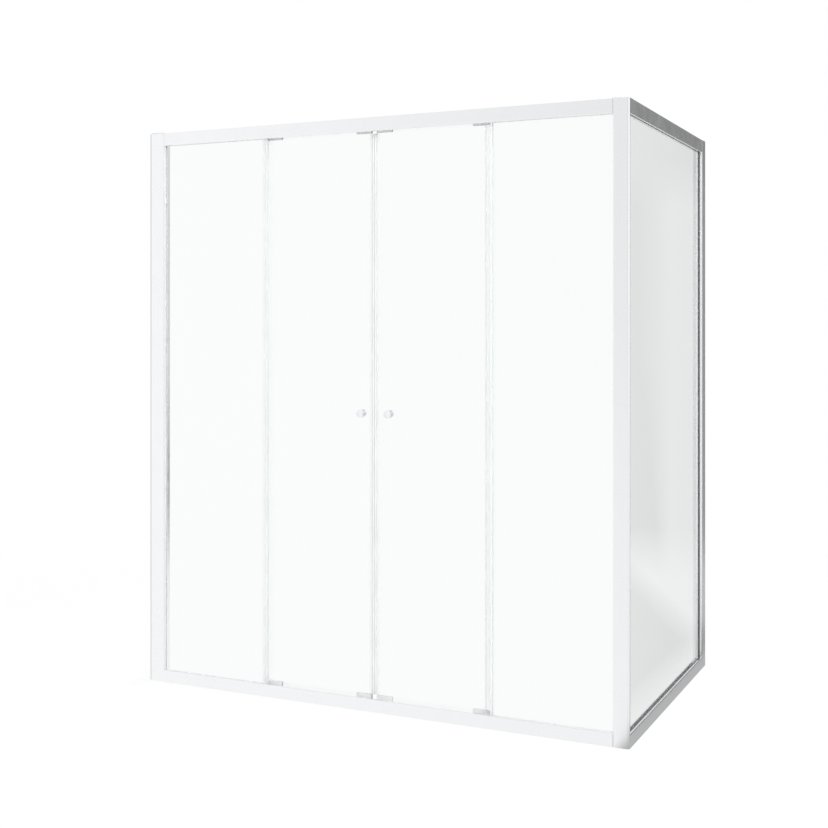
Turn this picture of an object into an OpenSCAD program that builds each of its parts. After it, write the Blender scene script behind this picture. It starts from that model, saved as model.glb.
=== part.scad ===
// Corner shower screen: a front with two sliding doors between two fixed panes,
// and one fixed side pane, in extruded aluminium profiles.
// The origin is on the floor, in the middle of the plan. The front faces -Y, the left
// wall is at -X, the corner post stands at +X -Y and the back wall is at +Y.

/* [Overall] */
// Width of the front, from the left wall to the corner
overall_w = 1710; // [1200:10:2000]
// Width of the side, from the corner to the back wall
overall_d = 1020; // [600:10:1200]
// Height of the profiles, without the end caps
overall_h = 1900; // [1500:10:2100]

/* [Profiles] */
// Wall of every extruded profile
profile_wall = 2; // [1.6:0.1:2.4]
// Depth of the hollow lip in front of the glass
lip_depth = 8; // [7:0.5:16]
// Height of the top rails' lip
top_lip_h = 44; // [40:1:56]
// Height of the bottom rails' lip
bottom_lip_h = 40; // [36:1:44]
// Height of the glass groove's floor above the rail's base
groove_floor_h = 10; // [8:1:14]
// Height of the divider between the glass groove and the track
divider_h = 30; // [26:1:34]
// Height of the track's inner wall
inner_wall_h = 24; // [22:1:28]
// Height of the rib that the wheels run on
rib_h = 10; // [8:0.5:12]
// Thickness of the rib
rib_t = 2; // [1.6:0.1:2.2]
// Rounding of the profiles' visible edges
edge_r = 2.5; // [1:0.5:3.5]
// Depth of the grooves in the uprights that the panes slide into
groove_depth = 14; // [13:1:20]
// Distance from a wall to the inner edge of its jamb
jamb_w = 60; // [48:1:70]
// Width of the corner post's front face
post_w = 50; // [48:1:70]
// Rounding of the corner post's outer edge
post_corner_r = 6; // [4:0.5:7]
// Thickness of the end caps on the uprights
cap_t = 3; // [2:0.5:5]
// Depth of the plugs that hold the end caps
cap_plug_h = 8; // [4:1:15]

/* [Wall channels] */
// Gap between a wall and its jamb
wall_gap = 8; // [1:0.5:12]
// Reach of the channel's legs from the wall
channel_leg = 24; // [20:1:25]
// Play between a channel leg and the jamb
channel_play = 0.5; // [0.3:0.1:1]
// Diameter of the wall screw holes
wall_hole_d = 6; // [4:0.5:8]
// Distance of the outer wall screws from the ends of a channel
wall_hole_inset = 150; // [100:10:250]

/* [Glass] */
// Thickness of the toughened glass
glass_t = 6; // [5:0.5:8]
// Thickness of a gasket strip beside the glass
gasket_t = 3; // [2:0.5:4]
// How far a gasket stands out of its groove
gasket_lip = 1; // [0.5:0.5:2]
// How far a pane goes into an upright's groove
glass_bite = 12; // [8:1:12]
// Height of the blocks under the fixed panes
setting_h = 2; // [1:0.5:4]
// Length of a setting block
setting_l = 60; // [40:5:100]
// Distance of a setting block from the end of its pane
setting_inset = 50; // [40:5:100]

/* [Doors] */
// How far right of the middle of the front the doors meet
door_shift = 9; // [-20:1:20]
// Overlap of the door's glass and the fixed glass
glass_overlap = 18; // [16:1:30]
// Distance of the door's glass from the line where the doors meet
lead_gap = 8; // [7:0.5:12]
// Height of the door glass's lower edge, and its upper edge below the top
door_edge_h = 32; // [31:0.5:34]
// Air between the two doors when they are shut
meeting_gap = 0.4; // [0.3:0.1:1]
// Air left between a knob and the fixed pane's seal when the door is open
knob_stop_gap = 9; // [4:1:30]

/* [Seals] */
// Wall of the clip-on seals
seal_t = 1.2; // [1:0.1:1.5]
// Length of a door seal's legs on the glass
seal_leg = 10; // [6:1:11]
// Width of the fixed pane's edge seal
edge_seal_w = 24; // [24:1:36]
// How far the edge seal stands past the fixed glass
edge_seal_nose = 3; // [3:0.5:6]
// Thickness of the sealing fins
fin_t = 1; // [0.8:0.1:1.4]
// Air between a fin and what slides past it
fin_gap = 0.6; // [0.4:0.1:1]
// Width of the magnet strip
magnet_w = 5; // [3:0.5:6]
// Thickness of the magnet strip
magnet_t = 3; // [2:0.5:3.5]

/* [Carriages] */
// Length of a roller carriage
carriage_l = 54; // [52:1:60]
// Height of a bottom carriage's top edge
bottom_carriage_top = 48; // [48:0.5:54]
// Height of a top carriage's edge, measured down from the top
top_carriage_top = 47; // [46:0.5:52]
// Height of a carriage's wheel end above the rail's base
carriage_foot = 14; // [13:0.5:15]
// Thickness of a clamping jaw beside the glass
jaw_t = 3; // [2.5:0.5:4]
// Air between a carriage and the track's walls
track_play = 1; // [0.8:0.1:2]
// Step back of the outer jaw above the shoulder
shoulder_step = 1; // [0.5:0.1:1.5]
// Height of the stepped-back jaw
shoulder_h = 9; // [6:0.5:10]
// Distance of the leading carriage's middle from the glass's edge
lead_inset = 29; // [25:1:60]
// Distance of the trailing carriage's middle from the glass's edge
trail_inset = 38.5; // [38.5:0.5:80]
// Height of the clamping bolts above the glass's edge
bolt_rise = 8.5; // [7:0.5:9]
// Distance between the two clamping bolts
bolt_pitch = 30; // [24:1:34]
// Diameter of a clamping bolt
bolt_d = 4; // [3:0.5:5]
// Diameter of a clamping bolt's head
bolt_head_d = 7.5; // [6:0.5:9]
// Height of a clamping bolt's head
bolt_head_h = 2.2; // [1.5:0.1:3]
// Diameter of the holes in the door glass for the bolts
glass_hole_d = 8; // [6:0.5:10]

/* [Wheels] */
// Outer diameter of a wheel
wheel_d = 20; // [19:0.5:21]
// Diameter of a wheel at the floor of its groove
tread_d = 16; // [15:0.5:17]
// Width of a wheel
wheel_w = 7; // [6:0.5:7]
// Distance between the two wheels of a carriage
wheel_pitch = 28; // [27:0.5:29]
// Diameter of a wheel's axle pin
axle_d = 4; // [3:0.5:5]
// Air round an axle pin in its wheel
axle_play = 0.05; // [0.02:0.01:0.1]
// Air between a wheel's tread and the rib
tread_gap = 0.3; // [0.3:0.1:0.6]
// Air on each side of the rib in the groove of a wheel
groove_side_gap = 0.4; // [0.3:0.1:0.6]
// Air between a wheel and its pocket
pocket_gap = 0.3; // [0.3:0.1:0.5]
// Air above a wheel in its pocket
pocket_head = 1; // [0.5:0.1:1.2]

/* [Knobs] */
// Diameter of a knob
knob_d = 26; // [22:1:34]
// Length of a knob from its washer
knob_l = 10; // [8:0.5:12]
// Height of the knobs above the floor
knob_z = 950; // [800:10:1100]
// Distance of a knob from the door glass's leading edge
knob_inset = 41; // [36:1:70]
// Diameter of the stud that joins two knobs
stud_d = 6; // [5:0.5:8]
// Depth of the stud in each knob
stud_bite = 6; // [4:0.5:7]
// Diameter of the knob's hole in the glass
knob_hole_d = 12; // [11:0.5:14]
// Thickness of the washer under a knob
washer_t = 1; // [0.5:0.1:2]

/* [Small parts] */
// Length of a rail end block
end_block_l = 20; // [16:1:26]
// Height of the end block screws above the rail's base
end_screw_h = 17; // [16:0.5:18]
// Diameter of the frame screws
screw_d = 4; // [3.5:0.5:5]
// Length of a frame screw under its head
screw_l = 16; // [14:1:18]
// Diameter of a frame screw's head
screw_head_d = 7.2; // [6:0.2:7.6]
// Height of a frame screw's head
screw_head_h = 2.4; // [2:0.1:3]
// Length of a door stop
stop_l = 14; // [8:1:20]
// Height of a door stop
stop_h = 27; // [24:1:29]
// Air between a door stop and an open door's carriage
stop_gap = 0.5; // [0.5:0.5:2]

/* [Hidden] */
$fn = 48;
// Overshoot of a cutting shape, so that it leaves no skin
over = 1;
// Wall left in a carriage's outer jaw in front of a clamping bolt's tip
bolt_tip_wall = 0.8;
// Air round a screw head that sits in an end block
head_play = 0.2;

// Depths, measured inwards from the outer face
groove_w = glass_t + 2 * gasket_t;
divider_y = lip_depth + groove_w;
fixed_glass_y = lip_depth + gasket_t;
housing_t = glass_t + 2 * jaw_t;
track_y = divider_y + profile_wall;
track_w = housing_t + 2 * track_play;
track_mid = track_y + track_w / 2;
inner_wall_y = track_y + track_w;
frame_depth = inner_wall_y + profile_wall;
door_glass_y = track_mid - glass_t / 2;
housing_y = track_mid - housing_t / 2;

// Lengths of the rails, in the front's x and in the side's distance from the corner
front_x0 = -overall_w / 2 + jamb_w;
front_x1 = overall_w / 2 - post_w;
side_x1 = overall_d - jamb_w;

// Fixed panes
pane_z0 = groove_floor_h + setting_h;
pane_h = overall_h - 2 * pane_z0;
overlap_u = (front_x1 - front_x0) / 4;
fixed_edge_u = overlap_u - glass_overlap / 2;
left_free_x = door_shift - fixed_edge_u;
right_free_x = door_shift + fixed_edge_u;
left_pane_x0 = front_x0 - glass_bite;
right_pane_x1 = front_x1 + glass_bite;
side_pane_x0 = lip_depth + groove_depth - glass_bite;
side_pane_x1 = side_x1 + glass_bite;

// Doors, as distances from the line where they meet
door_edge_u = overlap_u + glass_overlap / 2;
lead_u = lead_gap + lead_inset;
trail_u = door_edge_u - trail_inset;
knob_u = lead_gap + knob_inset;
edge_seal_u = fixed_edge_u - edge_seal_nose;
door_travel = edge_seal_u - knob_stop_gap - knob_u - knob_d / 2;
seal_z0 = bottom_carriage_top + 1;
stop_u = trail_u + carriage_l / 2 + door_travel + stop_gap;

// Carriages and wheels
axle_h = rib_h + tread_gap + tread_d / 2;
bolt_h = door_edge_h + bolt_rise;
groove_half = rib_t / 2 + groove_side_gap;
wheel_us = [lead_u - wheel_pitch / 2, lead_u + wheel_pitch / 2,
    trail_u - wheel_pitch / 2, trail_u + wheel_pitch / 2];

aluminium = "gainsboro";
clear_glass = [0.86, 0.93, 0.92, 0.45];
dark_rubber = [0.5, 0.51, 0.52];
clear_vinyl = [0.93, 0.94, 0.95];
grey_sheath = [0.84, 0.85, 0.86];
grey_nylon = [0.78, 0.79, 0.8];
chrome = [0.78, 0.79, 0.8];
steel = [0.6, 0.61, 0.62];

// Frames to work in: x runs along the panel, y inwards from its outer face
module front_frame() {
    translate([0, -overall_d / 2, 0]) children();
}

// The same, with x from the line where the doors meet
module door_frame() {
    translate([door_shift, -overall_d / 2, 0]) children();
}

module side_frame() {
    translate([overall_w / 2, -overall_d / 2, 0]) rotate([0, 0, 90]) children();
}

// What is made for the bottom of the screen, turned over to its top
module turned_to_top() {
    translate([0, 0, overall_h]) mirror([0, 0, 1]) children();
}

module both_levels() {
    children();
    turned_to_top() children();
}

// Pieces of the right door and pane, mirrored for the left ones
module mirrored_to_left() {
    translate([2 * door_shift, 0, 0]) mirror([1, 0, 0]) children();
}

// A flat section of depth and height, drawn out along x
module along_x(x0, x1) {
    translate([x0, 0, 0]) rotate([90, 0, 90]) linear_extrude(height = x1 - x0) children();
}

module upright(z0, z1) {
    translate([0, 0, z0]) linear_extrude(height = z1 - z0) children();
}

module rounded_rect(w, h, r) {
    translate([r, 0]) square([w - 2 * r, h]);
    translate([0, r]) square([w, h - 2 * r]);
    for (x = [r, w - r], y = [r, h - r]) translate([x, y]) circle(r = r);
}

// Rounded on the side of x = 0 only
module rounded_front(w, h, r) {
    rounded_rect(w, h, r);
    translate([r, 0]) square([w - r, h]);
}

// Section of a rail: hollow lip, glass groove, divider, gutter and inner wall
module rail_section(lip_h, gutter_h) {
    difference() {
        union() {
            rounded_front(lip_depth, lip_h, edge_r);
            square([frame_depth, profile_wall]);
            translate([edge_r, 0]) square([divider_y - edge_r, groove_floor_h]);
            translate([divider_y, 0]) square([profile_wall, divider_h]);
            translate([inner_wall_y, 0]) square([profile_wall, gutter_h]);
        }
        translate([profile_wall, profile_wall])
            square([lip_depth - 2 * profile_wall, lip_h - 2 * profile_wall]);
        translate([lip_depth, profile_wall])
            square([groove_w, groove_floor_h - 2 * profile_wall]);
    }
}

// The rib has a round top for the wheels' grooves
module rib_section() {
    translate([track_mid - rib_t / 2, 0]) square([rib_t, rib_h - rib_t / 2]);
    translate([track_mid, rib_h - rib_t / 2]) circle(d = rib_t);
}

module front_rail(lip_h) {
    front_frame() along_x(front_x0, front_x1) {
        rail_section(lip_h, inner_wall_h);
        rib_section();
    }
}

// The side rail's front end is stepped to go round the corner post
module side_rail(lip_h) {
    side_frame() difference() {
        along_x(lip_depth, side_x1) rail_section(lip_h, inner_wall_h);
        translate([lip_depth - over, lip_depth - profile_wall, -over])
            cube([groove_depth + over, frame_depth, lip_h + 2 * over]);
        translate([lip_depth - over, divider_y, -over])
            cube([frame_depth - lip_depth + over, frame_depth, lip_h + 2 * over]);
    }
}

module front_bottom_rail() {
    color(aluminium) front_rail(bottom_lip_h);
}

module front_top_rail() {
    color(aluminium) turned_to_top() front_rail(top_lip_h);
}

module side_bottom_rail() {
    color(aluminium) side_rail(bottom_lip_h);
}

module side_top_rail() {
    color(aluminium) turned_to_top() side_rail(top_lip_h);
}

// Section of a wall jamb: x from the wall, y inwards from the outer face
module jamb_section() {
    chamber_x = jamb_w - groove_depth;
    chamber_w = groove_depth - profile_wall;
    difference() {
        union() {
            translate([wall_gap, 0])
                rounded_rect(jamb_w - wall_gap, frame_depth, edge_r);
            translate([wall_gap, 0]) square([edge_r + over, frame_depth]);
        }
        translate([0, profile_wall])
            square([chamber_x - profile_wall, frame_depth - 2 * profile_wall]);
        translate([chamber_x, profile_wall])
            square([chamber_w, lip_depth - 2 * profile_wall]);
        translate([chamber_x, lip_depth]) square([groove_depth + over, groove_w]);
        translate([chamber_x, track_y])
            square([chamber_w, frame_depth - track_y - profile_wall]);
    }
}

// Section of a wall channel: a base on the wall and two legs inside the jamb
module channel_section() {
    outer = profile_wall + channel_play;
    difference() {
        translate([0, outer]) square([channel_leg, frame_depth - 2 * outer]);
        translate([profile_wall, outer + profile_wall])
            square([channel_leg, frame_depth - 2 * outer - 2 * profile_wall]);
    }
}

// Places a wall upright on the left wall or on the back wall
module on_left_wall() {
    translate([-overall_w / 2, -overall_d / 2, 0]) children();
}

module on_back_wall() {
    translate([overall_w / 2, overall_d / 2, 0]) mirror([1, 1, 0]) children();
}

module at_wall_holes() {
    for (z = [wall_hole_inset, overall_h / 2, overall_h - wall_hole_inset])
        translate([0, 0, z]) children();
}

// Screws that hold a jamb on its channel, driven from inside the screen
module at_jamb_screws() {
    at_wall_holes() translate([(wall_gap + channel_leg) / 2, frame_depth, 0])
        rotate([90, 0, 0]) children();
}

module wall_channel() {
    difference() {
        upright(0, overall_h) channel_section();
        at_wall_holes() translate([-over, frame_depth / 2, 0]) rotate([0, 90, 0])
            cylinder(d = wall_hole_d, h = profile_wall + 2 * over);
        at_jamb_screws() screw_hole();
    }
}

module wall_jamb() {
    difference() {
        upright(0, overall_h) jamb_section();
        at_jamb_screws() screw_hole();
    }
}

module left_wall_channel() {
    color(aluminium) on_left_wall() wall_channel();
}

module side_wall_channel() {
    color(aluminium) on_back_wall() wall_channel();
}

module left_wall_jamb() {
    color(aluminium) difference() {
        on_left_wall() wall_jamb();
        at_rail_ends() end_screw_place() screw_hole();
    }
}

module side_wall_jamb() {
    color(aluminium) difference() {
        on_back_wall() wall_jamb();
        at_rail_ends() end_screw_place() screw_hole();
    }
}

// Places the corner post: x from the corner along the front, y inwards
module at_corner() {
    translate([overall_w / 2, -overall_d / 2, 0]) mirror([1, 0, 0]) children();
}

// Outline of the post's front flange, inset by a wall for its hollow
module flange_outline(inset) {
    intersection() {
        translate([inset, inset]) square([post_w - 2 * inset, lip_depth - 2 * inset]);
        union() {
            translate([post_corner_r, 0])
                square([post_w - post_corner_r - edge_r, lip_depth]);
            translate([0, post_corner_r]) square([post_w, lip_depth]);
            translate([post_w - edge_r, edge_r]) square([edge_r, lip_depth]);
            translate([post_corner_r, post_corner_r]) circle(r = post_corner_r - inset);
            translate([post_w - edge_r, edge_r]) circle(r = edge_r);
        }
    }
}

// Section of the corner post: front flange, two glass grooves and a rear chamber
module post_section() {
    rear_x = lip_depth + groove_w;
    chamber_x = rear_x + profile_wall;
    web_x = post_w - groove_depth - profile_wall;
    difference() {
        union() {
            flange_outline(0);
            translate([lip_depth - profile_wall, lip_depth - over])
                square([profile_wall, groove_depth + over]);
            translate([rear_x, lip_depth - over])
                square([post_w - rear_x, frame_depth - lip_depth + over]);
        }
        flange_outline(profile_wall);
        translate([chamber_x, track_y])
            square([post_w - chamber_x - profile_wall, track_w]);
        translate([chamber_x, lip_depth]) square([web_x - chamber_x, groove_w]);
        translate([post_w - groove_depth, lip_depth])
            square([groove_depth + over, groove_w]);
    }
}

module corner_post() {
    color(aluminium) difference() {
        at_corner() upright(0, overall_h) post_section();
        at_rail_ends() end_screw_place() screw_hole();
    }
}

// Cap plate over the post, with a plug in each chamber
module corner_post_cap() {
    rear_x = lip_depth + groove_w;
    chamber_x = rear_x + profile_wall;
    color(grey_nylon) at_corner() {
        upright(overall_h, overall_h + cap_t) {
            flange_outline(0);
            translate([lip_depth, lip_depth - over])
                square([post_w - lip_depth, frame_depth - lip_depth + over]);
        }
        upright(overall_h - cap_plug_h, overall_h + cap_t / 2) {
            flange_outline(profile_wall);
            translate([chamber_x, track_y])
                square([post_w - chamber_x - profile_wall, track_w]);
        }
    }
}

module wall_jamb_cap() {
    chamber_x = jamb_w - groove_depth;
    chamber_w = groove_depth - profile_wall;
    upright(overall_h, overall_h + cap_t) {
        translate([wall_gap, 0]) rounded_rect(jamb_w - wall_gap, frame_depth, edge_r);
        translate([wall_gap, 0]) square([edge_r + over, frame_depth]);
    }
    upright(overall_h - cap_plug_h, overall_h + cap_t / 2) {
        translate([chamber_x, profile_wall])
            square([chamber_w, lip_depth - 2 * profile_wall]);
        translate([chamber_x, track_y])
            square([chamber_w, frame_depth - track_y - profile_wall]);
    }
}

module wall_jamb_caps() {
    color(grey_nylon) {
        on_left_wall() wall_jamb_cap();
        on_back_wall() wall_jamb_cap();
    }
}

module fixed_pane(x0, x1) {
    color(clear_glass) translate([x0, fixed_glass_y, pane_z0])
        cube([x1 - x0, glass_t, pane_h]);
}

module left_fixed_glass() {
    front_frame() fixed_pane(left_pane_x0, left_free_x);
}

module right_fixed_glass() {
    front_frame() fixed_pane(right_free_x, right_pane_x1);
}

module side_glass() {
    side_frame() fixed_pane(side_pane_x0, side_pane_x1);
}

// One flat gasket between a pane and a groove wall. The window leaves the glass free,
// and one that runs past the pane's end leaves that end without a gasket.
module gasket(x0, x1, y, window_x0, window_x1, low, high) {
    difference() {
        translate([x0, y, pane_z0]) cube([x1 - x0, gasket_t, pane_h]);
        translate([window_x0, y - over, low])
            cube([window_x1 - window_x0, gasket_t + 2 * over, overall_h - low - high]);
    }
}

// The outer gasket reaches to the lips and the inner one to the divider
module pane_gaskets(x0, x1, outer_window, inner_window) {
    gasket(x0, x1, lip_depth, outer_window[0], outer_window[1],
        bottom_lip_h + gasket_lip, top_lip_h + gasket_lip);
    gasket(x0, x1, fixed_glass_y + glass_t, inner_window[0], inner_window[1],
        divider_h + gasket_lip, divider_h + gasket_lip);
}

module glazing_gaskets() {
    left_window = [front_x0 + gasket_lip, left_free_x + over];
    right_window = [right_free_x - over, front_x1 - gasket_lip];
    side_end = side_x1 - gasket_lip;
    color(dark_rubber) {
        front_frame() pane_gaskets(left_pane_x0, left_free_x, left_window, left_window);
        front_frame() pane_gaskets(right_free_x, right_pane_x1, right_window, right_window);
        side_frame() pane_gaskets(side_pane_x0, side_pane_x1,
            [lip_depth + groove_depth + gasket_lip, side_end],
            [frame_depth + gasket_lip, side_end]);
    }
}

module setting_block_pair(x0, x1) {
    for (x = [x0 + setting_inset, x1 - setting_inset - setting_l])
        translate([x, lip_depth, groove_floor_h]) cube([setting_l, groove_w, setting_h]);
}

module glass_setting_blocks() {
    color(dark_rubber) {
        front_frame() setting_block_pair(left_pane_x0, left_free_x);
        front_frame() setting_block_pair(right_free_x, right_pane_x1);
        side_frame() setting_block_pair(side_pane_x0, side_pane_x1);
    }
}

// Cover of the empty glass groove between the fixed panes, with two legs
module infill_section() {
    leg_h = divider_h - groove_floor_h - setting_h;
    translate([lip_depth, divider_h - seal_t]) square([groove_w, seal_t]);
    for (y = [lip_depth, divider_y - seal_t])
        translate([y, divider_h - leg_h]) square([seal_t, leg_h]);
}

module groove_infill_strips() {
    color(aluminium) both_levels() front_frame()
        along_x(left_free_x, right_free_x) infill_section();
}

// Clip-on seal of the fixed glass's free edge, with a fin that reaches to the door
module edge_seal() {
    nose = edge_seal_nose;
    glass_back = fixed_glass_y + glass_t;
    seal_low = bottom_lip_h + gasket_lip;
    seal_high = overall_h - top_lip_h - gasket_lip;
    door_frame() {
        upright(seal_low, seal_high) {
            translate([edge_seal_u, fixed_glass_y - seal_t]) square([edge_seal_w, seal_t]);
            translate([edge_seal_u, glass_back]) square([edge_seal_w, seal_t]);
            translate([fixed_edge_u - seal_t, fixed_glass_y - seal_t])
                square([seal_t, glass_t + 2 * seal_t]);
            translate([edge_seal_u, fixed_glass_y - seal_t])
                square([seal_t, glass_t + 2 * seal_t]);
        }
        upright(seal_z0, overall_h - seal_z0)
            translate([edge_seal_u, glass_back])
            square([fin_t, door_glass_y - fin_gap - glass_back]);
    }
}

module right_edge_seal() {
    color(clear_vinyl) edge_seal();
}

module left_edge_seal() {
    color(clear_vinyl) mirrored_to_left() edge_seal();
}

// A screw along +z with its head below z = 0 and a cross recess in the head
module screw() {
    tip = screw_d / 2;
    slot = 0.9;
    difference() {
        union() {
            translate([0, 0, -screw_head_h]) cylinder(d = screw_head_d, h = screw_head_h);
            cylinder(d = screw_d, h = screw_l - tip);
            translate([0, 0, screw_l - tip]) cylinder(d1 = screw_d, d2 = slot, h = tip);
        }
        for (turn = [0, 90]) rotate([0, 0, turn])
            translate([-screw_head_d / 4, -slot / 2, -screw_head_h - over])
            cube([screw_head_d / 2, slot, over + screw_head_h / 2]);
    }
}

module screw_hole() {
    translate([0, 0, -over]) cylinder(d = screw_d, h = screw_l + 2 * over);
}

// Every rail end, with x from the upright into the rail
module at_rail_ends() {
    both_levels() {
        front_frame() translate([front_x0, 0, 0]) children();
        front_frame() translate([front_x1, 0, 0]) mirror([1, 0, 0]) children();
        side_frame() translate([frame_depth, 0, 0]) children();
        side_frame() translate([side_x1, 0, 0]) mirror([1, 0, 0]) children();
    }
}

// The end screw points out of the rail and its tip passes the upright's wall
module end_screw_place() {
    reach = screw_l - 3 * profile_wall;
    translate([reach, track_mid, end_screw_h]) rotate([0, -90, 0]) children();
}

// Block in the end of a gutter. It is screwed to the upright and straddles the rib.
module end_block() {
    head_x = screw_l - 3 * profile_wall;
    difference() {
        translate([0, track_y, profile_wall])
            cube([end_block_l, track_w, inner_wall_h - profile_wall]);
        along_x(-over, end_block_l + over) rib_section();
        end_screw_place() screw_hole();
        translate([head_x, track_mid, end_screw_h]) rotate([0, 90, 0])
            cylinder(d = screw_head_d + 2 * head_play, h = end_block_l);
    }
}

module rail_end_blocks() {
    color(grey_nylon) at_rail_ends() end_block();
}

module frame_screws() {
    color(steel) {
        at_rail_ends() end_screw_place() screw();
        on_left_wall() at_jamb_screws() screw();
        on_back_wall() at_jamb_screws() screw();
    }
}

// Rubber stop that sits over the rib and meets the trailing carriage
module door_stop() {
    door_frame() difference() {
        translate([stop_u, housing_y, profile_wall])
            cube([stop_l, housing_t, stop_h - profile_wall]);
        along_x(stop_u - over, stop_u + stop_l + over) rib_section();
    }
}

module door_stops() {
    color(dark_rubber) both_levels() {
        door_stop();
        mirrored_to_left() door_stop();
    }
}

// Right door
module at_carriages() {
    both_levels() door_frame() for (u = [lead_u, trail_u])
        translate([u, track_mid, 0]) children();
}

module at_bolts() {
    at_carriages() for (x = [-bolt_pitch / 2, bolt_pitch / 2])
        translate([x, 0, bolt_h]) rotate([-90, 0, 0]) children();
}

module at_knob() {
    door_frame() translate([knob_u, track_mid, knob_z]) rotate([90, 0, 0]) children();
}

module door_glass() {
    color(clear_glass) difference() {
        door_frame() translate([lead_gap, door_glass_y, door_edge_h])
            cube([door_edge_u - lead_gap, glass_t, overall_h - 2 * door_edge_h]);
        at_bolts() translate([0, 0, -glass_t]) cylinder(d = glass_hole_d, h = 2 * glass_t);
        at_knob() translate([0, 0, -glass_t]) cylinder(d = knob_hole_d, h = 2 * glass_t);
    }
}

// Two legs of a clip-on seal on the door glass, from its edge at x = 0 towards +x
module door_clip_section() {
    for (y = [door_glass_y - seal_t, door_glass_y + glass_t])
        translate([-seal_t, y]) square([seal_t + seal_leg, seal_t]);
    translate([-seal_t, door_glass_y - seal_t]) square([seal_t, glass_t + 2 * seal_t]);
}

// Leading seal: a clip on the glass and a nose that holds the magnet strip
module magnet_seal() {
    nose_x = meeting_gap / 2;
    nose_w = lead_gap - seal_t - nose_x;
    nose_h = glass_t + 2 * seal_t;
    color(clear_vinyl) door_frame() upright(seal_z0, overall_h - seal_z0)
        difference() {
            union() {
                translate([lead_gap, 0]) door_clip_section();
                translate([nose_x, door_glass_y - seal_t])
                    rounded_front(nose_w, nose_h, seal_t);
            }
            magnet_section();
        }
}

module magnet_section() {
    translate([meeting_gap / 2 + seal_t, track_mid - magnet_w / 2])
        square([magnet_t, magnet_w]);
}

module magnet_strip() {
    color(grey_sheath) door_frame() upright(seal_z0, overall_h - seal_z0)
        magnet_section();
}

// Trailing seal: a clip on the glass and a fin that reaches to the edge seal
module door_side_seal() {
    fixed_back = fixed_glass_y + glass_t + seal_t;
    fin_end = door_glass_y - seal_t;
    color(clear_vinyl) door_frame() upright(seal_z0, overall_h - seal_z0) {
        translate([door_edge_u, 0]) mirror([1, 0]) door_clip_section();
        translate([door_edge_u - fin_t, fixed_back + fin_gap])
            square([fin_t, fin_end - fixed_back - fin_gap]);
    }
}

// Carriage housing, upright and centred on the track: jaws above, wheel pockets below
module housing(top) {
    foot_r = 4;
    jaw_r = 2;
    pocket_d = wheel_d + 2 * pocket_head;
    pocket_t = wheel_w + 2 * pocket_gap;
    difference() {
        translate([-carriage_l / 2, housing_t / 2, carriage_foot]) rotate([90, 0, 0])
            linear_extrude(height = housing_t) {
                rounded_rect(carriage_l, top - carriage_foot, jaw_r);
                rounded_rect(carriage_l, (top - carriage_foot) / 2, foot_r);
            }
        translate([-carriage_l / 2 - over, -housing_t / 2 - over, top - shoulder_h])
            cube([carriage_l + 2 * over, over + shoulder_step, shoulder_h + over]);
        translate([-carriage_l / 2 - over, -glass_t / 2, door_edge_h])
            cube([carriage_l + 2 * over, glass_t, top]);
        for (x = [-wheel_pitch / 2, wheel_pitch / 2]) {
            translate([x - pocket_d / 2, -pocket_t / 2, 0])
                cube([pocket_d, pocket_t, axle_h]);
            translate([x, -pocket_t / 2, axle_h]) rotate([-90, 0, 0])
                cylinder(d = pocket_d, h = pocket_t);
            translate([x, -housing_t, axle_h]) rotate([-90, 0, 0])
                cylinder(d = axle_d, h = 2 * housing_t);
        }
        for (x = [-bolt_pitch / 2, bolt_pitch / 2])
            translate([x, -housing_t / 2 + shoulder_step + bolt_tip_wall, bolt_h])
            rotate([-90, 0, 0]) cylinder(d = bolt_d, h = housing_t);
    }
}

module roller_housings() {
    color(grey_nylon) door_frame() for (u = [lead_u, trail_u]) {
        translate([u, track_mid, 0]) housing(bottom_carriage_top);
        turned_to_top() translate([u, track_mid, 0]) housing(top_carriage_top);
    }
}

module wheel_axles() {
    color(steel) both_levels() door_frame() for (u = wheel_us)
        translate([u, housing_y, axle_h]) rotate([-90, 0, 0])
        cylinder(d = axle_d, h = housing_t);
}

// Clamping bolts go through the glass from the inside into the outer jaw
module clamp_bolts() {
    shank_start = -housing_t / 2 + shoulder_step + bolt_tip_wall;
    color(steel) at_bolts() {
        translate([0, 0, shank_start])
            cylinder(d = bolt_d, h = housing_t / 2 - shank_start);
        difference() {
            translate([0, 0, housing_t / 2]) cylinder(d = bolt_head_d, h = bolt_head_h);
            translate([0, 0, housing_t / 2 + bolt_head_h / 2])
                cylinder(d = bolt_d / 2, h = bolt_head_h);
        }
    }
}

// Half section of a wheel: a groove for the rib, dished sides and a bore
module wheel_section() {
    half = wheel_w / 2;
    rim = wheel_d / 2;
    tread = tread_d / 2;
    hub = axle_d / 2 + 2;
    bore = axle_d / 2 + axle_play;
    dish = 1.2;
    rim_flat = 0.8;
    web_r = tread - 1.5;
    polygon([[bore, -half], [hub, -half], [hub, dish - half], [web_r, dish - half],
        [web_r, -half], [rim, -half], [rim, rim_flat - half],
        [tread, -groove_half], [tread, groove_half], [rim, half - rim_flat],
        [rim, half], [web_r, half], [web_r, half - dish],
        [hub, half - dish], [hub, half], [bore, half]]);
}

module wheel(number) {
    color(clear_vinyl) door_frame()
        translate([wheel_us[number - 1], track_mid, axle_h]) rotate([90, 0, 0])
        rotate_extrude() wheel_section();
}

module top_wheel(number) {
    turned_to_top() wheel(number);
}

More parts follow.
